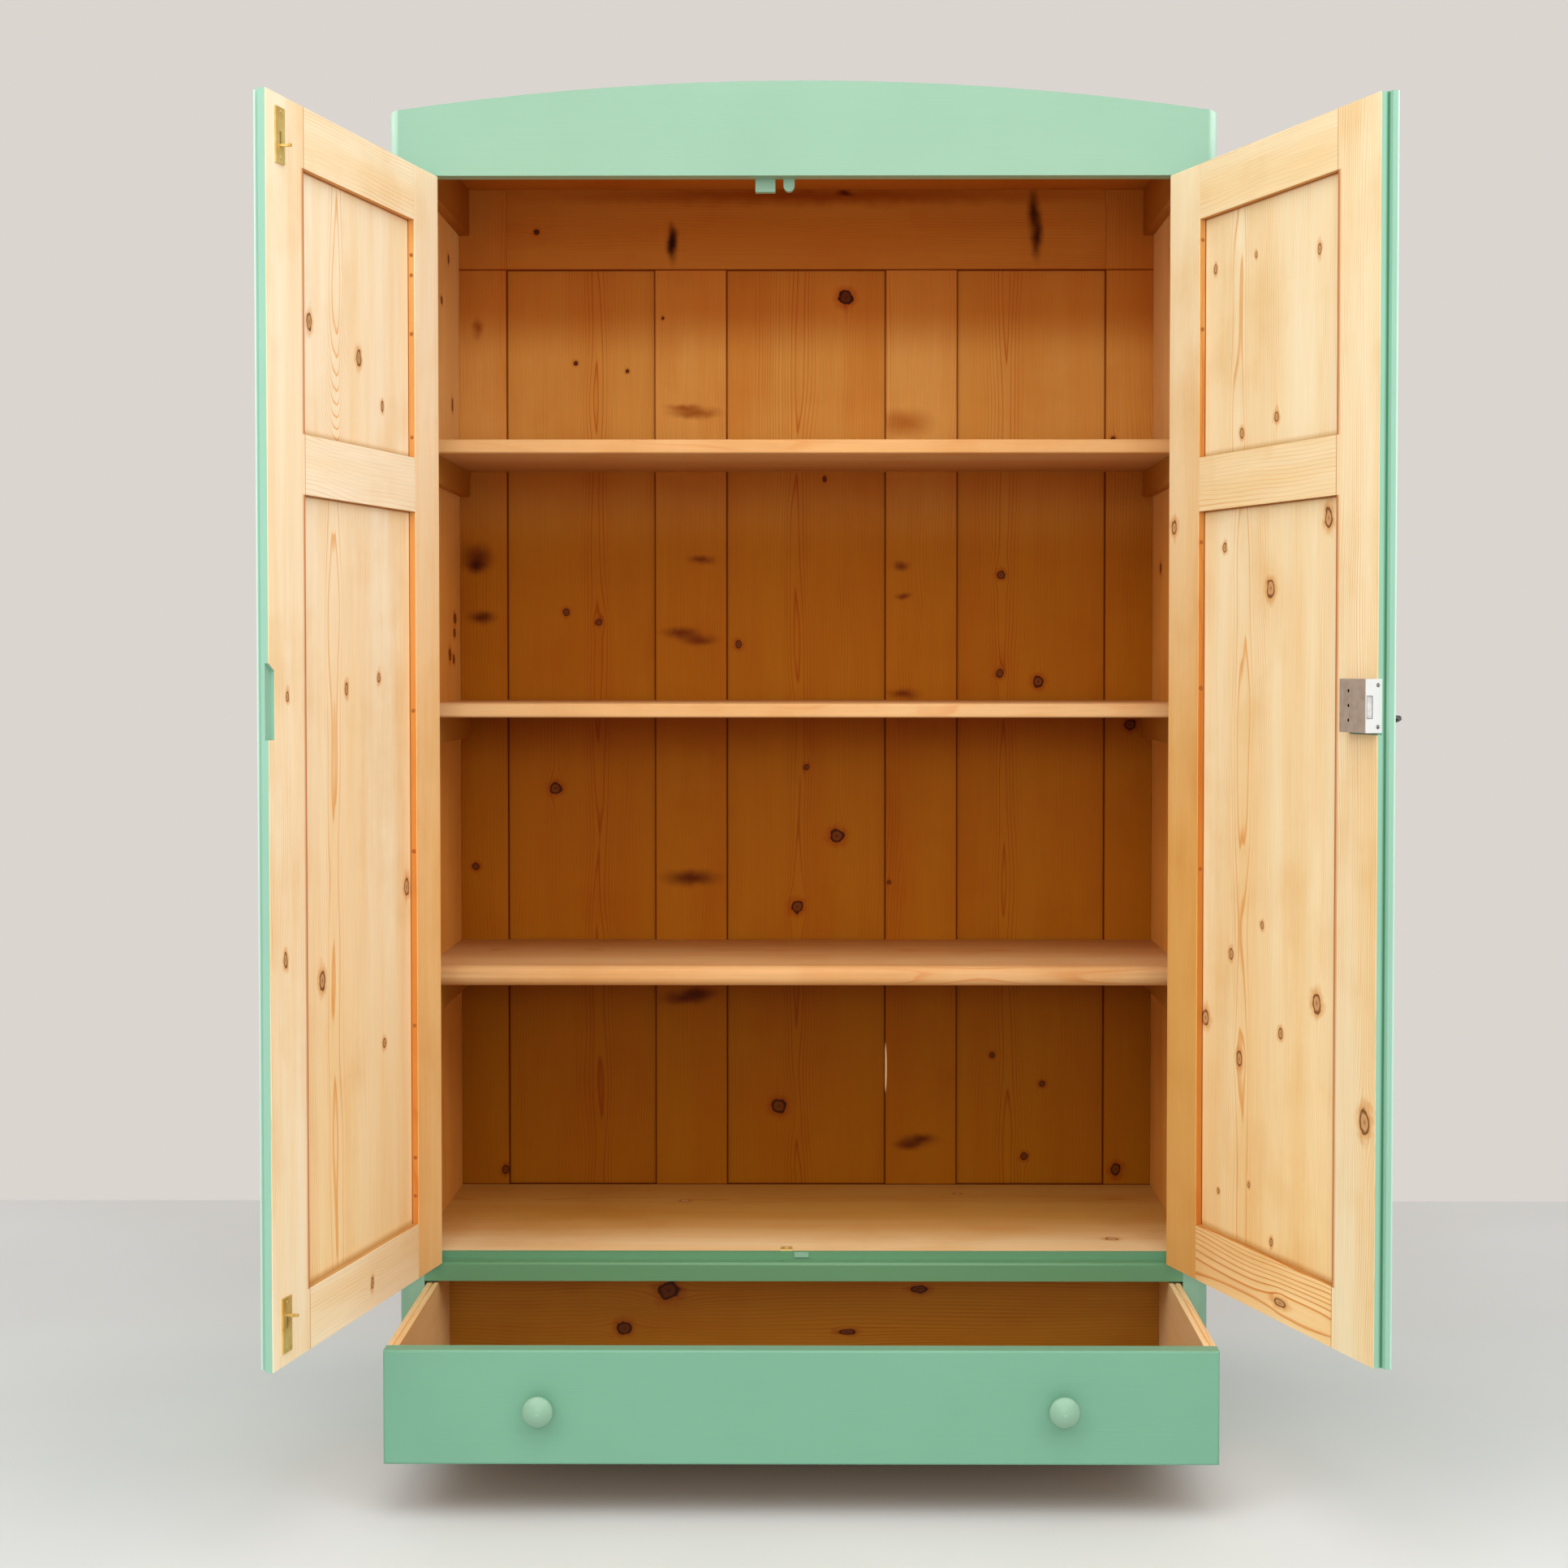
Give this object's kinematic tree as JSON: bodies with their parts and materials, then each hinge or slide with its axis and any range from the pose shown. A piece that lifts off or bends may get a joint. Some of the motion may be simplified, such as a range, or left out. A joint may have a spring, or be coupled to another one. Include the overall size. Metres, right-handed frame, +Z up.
{
  "type": "linen cupboard",
  "caption": "Tall linen cupboard of painted pine: arched crown board, panelled doors with flush bolts and a rim lock, shelves on bearers and a wide drawer at the foot.",
  "frame": {"origin": "on the floor, under the middle of the plane of the two front posts", "axes": "+Z up, -Y out of the front towards the user, +X to the user's right"},
  "size_m": [1.3211, 0.9833, 1.8379],
  "materials": {
    "painted_pine": "brushed eggshell paint, sage green",
    "waxed_pine": "waxed, knotty",
    "aged_pine": "waxed, darkened with age",
    "brass": "worn, satin",
    "steel": "dull, handled",
    "lock_steel": "plated, worn to grey brown"
  },
  "bodies": {
    "cupboard": {"front_post_left": "painted_pine", "front_post_right": "painted_pine", "side_board_left": "painted_pine", "side_board_right": "painted_pine", "crown_board": "painted_pine", "top_board": "aged_pine", "top_cleat_left": "waxed_pine", "top_cleat_right": "waxed_pine", "drawer_rail": "painted_pine", "floor_board": "waxed_pine", "base_rail": "painted_pine", "drawer_runners": "aged_pine", "shelf_upper": "waxed_pine", "shelf_middle": "waxed_pine", "shelf_lower": "waxed_pine", "shelf_bearers": "waxed_pine", "back_stile_left": "aged_pine", "back_stile_right": "aged_pine", "back_top_rail": "aged_pine", "back_bottom_rail": "aged_pine", "back_muntin_left": "aged_pine", "back_muntin_right": "aged_pine", "back_panel_left": "aged_pine", "back_panel_middle": "aged_pine", "back_panel_right": "aged_pine", "door_stop_blocks": "painted_pine", "crown_peg": "painted_pine", "floor_catch_plate": "brass", "left_post_hinge_leaves": "steel", "right_post_hinge_leaves": "steel"},
    "left_door": {"left_door_hinge_stile": "painted_pine", "left_door_meeting_stile": "painted_pine", "left_door_top_rail": "painted_pine", "left_door_middle_rail": "painted_pine", "left_door_bottom_rail": "painted_pine", "left_door_upper_panel": "painted_pine", "left_door_lower_panel": "painted_pine", "left_door_hinge_leaves": "steel", "upper_bolt_plate": "brass", "lower_bolt_plate": "brass"},
    "upper_bolt": {"upper_bolt": "steel"},
    "lower_bolt": {"lower_bolt": "steel"},
    "right_door": {"right_door_hinge_stile": "painted_pine", "right_door_meeting_stile": "painted_pine", "right_door_top_rail": "painted_pine", "right_door_middle_rail": "painted_pine", "right_door_bottom_rail": "painted_pine", "right_door_upper_panel": "painted_pine", "right_door_lower_panel": "painted_pine", "right_door_hinge_leaves": "steel", "lock_case": "lock_steel"},
    "lock_bolt": {"lock_bolt": "steel"},
    "key": {"key": "steel"},
    "drawer": {"drawer_front": "painted_pine", "drawer_side_left": "waxed_pine", "drawer_side_right": "waxed_pine", "drawer_back": "aged_pine", "drawer_bottom": "waxed_pine", "drawer_knobs": "painted_pine"}
  },
  "joints": [
    {"name": "left_door_hinge", "type": "hinge", "parent": "cupboard", "child": "left_door", "pos_m": [-0.5145, -0.006, 0.9765], "axis": [0, 0, 1], "range_deg": [-68, 102.7]},
    {"name": "right_door_hinge", "type": "hinge", "parent": "cupboard", "child": "right_door", "pos_m": [0.5145, -0.006, 0.9765], "axis": [0, 0, 1], "range_deg": [-109.7, 62]},
    {"name": "drawer_slide", "type": "slide", "parent": "cupboard", "child": "drawer", "axis": [0, -1, 0], "range_m": [-0.32, 0.06]},
    {"name": "upper_bolt_slide", "type": "slide", "parent": "left_door", "child": "upper_bolt", "axis": [0, 0, 1], "range_m": [0, 0.014]},
    {"name": "lower_bolt_slide", "type": "slide", "parent": "left_door", "child": "lower_bolt", "axis": [0, 0, -1], "range_m": [0, 0.014]},
    {"name": "key_turn", "type": "hinge", "parent": "right_door", "child": "key", "pos_m": [0.67386, -0.45108, 0.992], "axis": [-0.9415, -0.3371, 0], "range_deg": [0, 180]},
    {"name": "lock_bolt_slide", "type": "slide", "parent": "right_door", "child": "lock_bolt", "axis": [0.3371, -0.9415, 0], "range_m": [0, 0.012]}
  ],
  "couplings": [
    {"joint": "key_turn", "follows": "lock_bolt_slide", "rad_per_m": 261.8}
  ]
}
